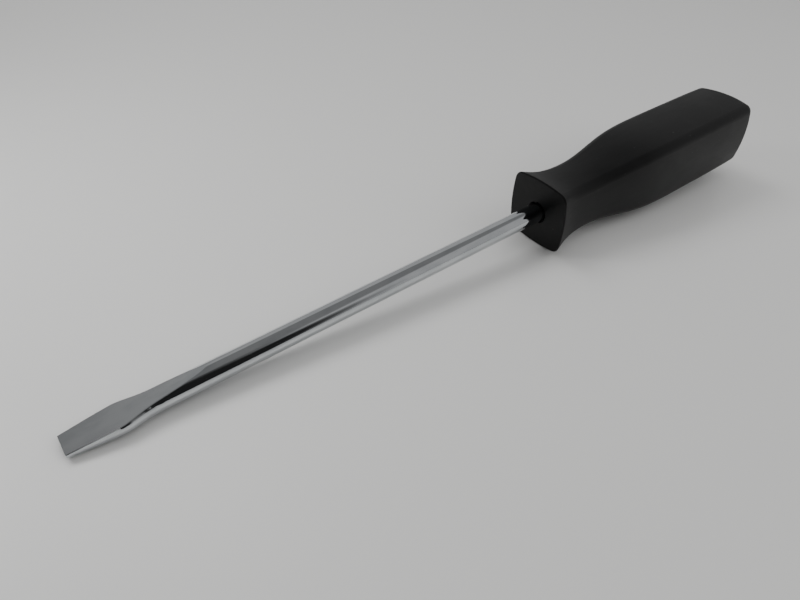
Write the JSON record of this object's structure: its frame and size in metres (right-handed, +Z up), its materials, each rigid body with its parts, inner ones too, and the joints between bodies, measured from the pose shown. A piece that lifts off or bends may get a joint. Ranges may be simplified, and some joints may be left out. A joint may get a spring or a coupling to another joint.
{
  "type": "slotted screwdriver",
  "caption": "Slotted screwdriver: round chromed shank with a flared, ground flat tip, and a black plastic handle of rounded-square section with a flanged, waisted front.",
  "frame": {"origin": "under the middle of the tool's length, in the plane the thickest part of the handle rests on when the tool lies level", "axes": "+X along the tool from the butt to the tip, +Z up and square to the broad faces of the tip, +Y across the tip"},
  "size_m": [0.257, 0.0254, 0.0254],
  "materials": {
    "chromed_steel": "bright chrome on the round shank, ground satin on the faces of the tip",
    "black_plastic": "satin moulded plastic, nearly black"
  },
  "bodies": {
    "root": {"blade": "chromed_steel", "handle": "black_plastic"}
  },
  "joints": []
}
